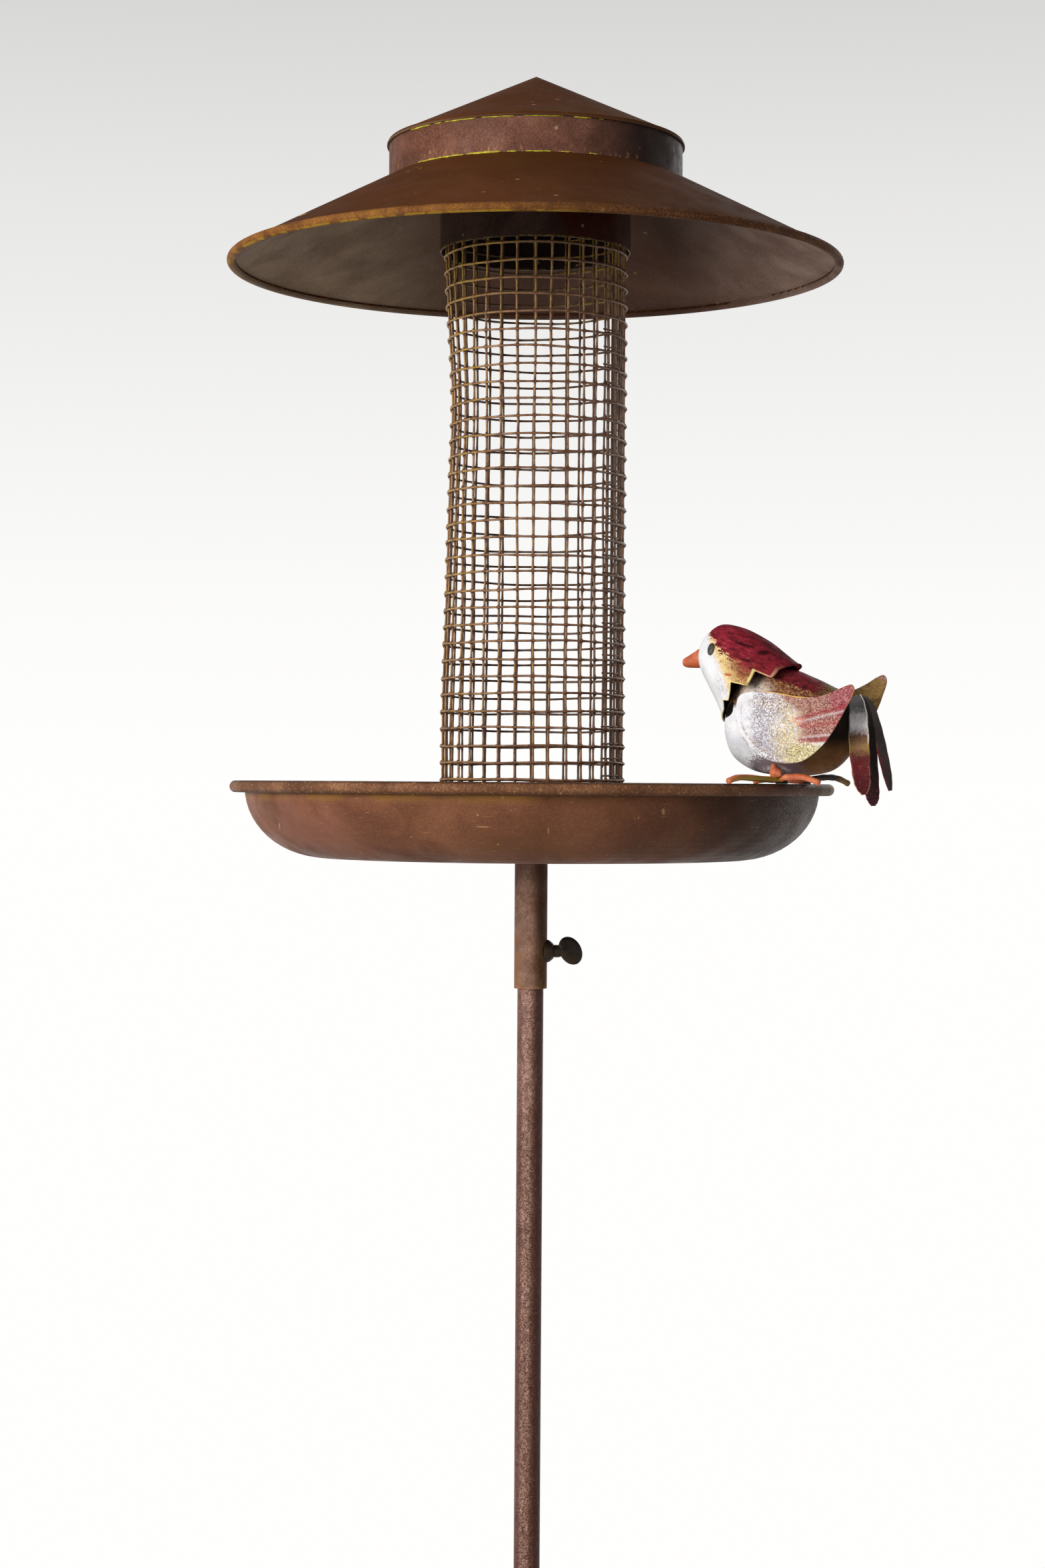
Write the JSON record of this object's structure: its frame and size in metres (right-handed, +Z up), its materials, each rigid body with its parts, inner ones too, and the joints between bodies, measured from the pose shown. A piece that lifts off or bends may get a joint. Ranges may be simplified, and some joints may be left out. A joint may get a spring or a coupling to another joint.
{
  "type": "silo bird feeder",
  "caption": "Wire mesh seed silo on a round tray with a lift-off conical roof, a tin bird on the rim, and a stake pole with a thumb screw.",
  "frame": {"origin": "soil level on the axis of the pole, where the ground spike's round part begins", "axes": "+Z up along the pole; +X to the side where the bird perches and the thumb screw points; the picture looks along +Y"},
  "size_m": [0.244, 0.2316, 0.9152],
  "materials": {
    "stake_paint": "dark brown paint, scuffed by soil",
    "pole_paint": "hammered purple-brown paint",
    "pin_steel": "bare steel",
    "socket_paint": "mottled brown paint",
    "screw_black": "near-black plating with an olive sheen",
    "tray_paint": "rust-brown satin paint, scratched and mottled",
    "wire_paint": "brown paint with a yellow-gold overspray on welded wire",
    "sleeve_paint": "dark maroon-brown paint",
    "roof_paint": "rust-brown satin paint, ochre along the rolled rim",
    "band_paint": "purple-brown paint with yellow-green slivers at the seams",
    "bird_breast": "white paint with purple-grey speckle, gold-brown behind",
    "bird_crimson": "dry-brushed crimson over cream and white",
    "bird_orange": "orange paint",
    "bird_black": "black",
    "bird_wing": "white, cream and red dry-brushed paint over embossed ridges, gold-brown inside",
    "bird_tail": "grey, brown and crimson paint in bands, yellow at the edges"
  },
  "bodies": {
    "stake": {"ground_spike": "stake_paint", "ground_prongs": "stake_paint", "pole_lower": "pole_paint", "joining_pin": "pin_steel"},
    "pole": {"pole_upper": "pole_paint"},
    "feeder": {"socket_tube": "socket_paint", "weld_nut": "socket_paint", "tray": "tray_paint", "silo_foot_ring": "tray_paint", "mesh_uprights": "wire_paint", "mesh_hoops": "wire_paint", "bird_body": "bird_breast", "bird_hood": "bird_crimson", "bird_beak": "bird_orange", "bird_eyes": "bird_black", "bird_wing_left": "bird_wing", "bird_wing_right": "bird_wing", "bird_tail_left": "bird_tail", "bird_tail_middle": "bird_tail", "bird_tail_right": "bird_tail", "bird_feet": "bird_orange", "bird_foot_pads": "bird_black"},
    "roof": {"roof_sleeve": "sleeve_paint", "roof_brim": "roof_paint", "crown_band": "band_paint", "crown_cap": "roof_paint"},
    "screw": {"thumb_screw_shank": "screw_black"},
    "thumb": {"thumb_screw_plate": "screw_black"}
  },
  "joints": [
    {"name": "pole_turn", "type": "hinge", "parent": "stake", "child": "pole", "pos_m": [0, 0, 0.17], "axis": [0, 0, 1], "continuous": true},
    {"name": "feeder_lift", "type": "slide", "parent": "pole", "child": "feeder", "axis": [0, 0, 1], "range_m": [0, 0.048]},
    {"name": "roof_lift", "type": "slide", "parent": "feeder", "child": "roof", "axis": [0, 0, 1], "range_m": [0, 0.09]},
    {"name": "screw_travel", "type": "slide", "parent": "feeder", "child": "screw", "axis": [1, 0, 0], "range_m": [0, 0.0032]},
    {"name": "thumb_turn", "type": "hinge", "parent": "screw", "child": "thumb", "pos_m": [0.0125, 0, 0.4454], "axis": [1, 0, 0], "range_deg": [0, 1440]}
  ],
  "couplings": [
    {"joint": "thumb_turn", "follows": "screw_travel", "rad_per_m": 7853.9}
  ]
}
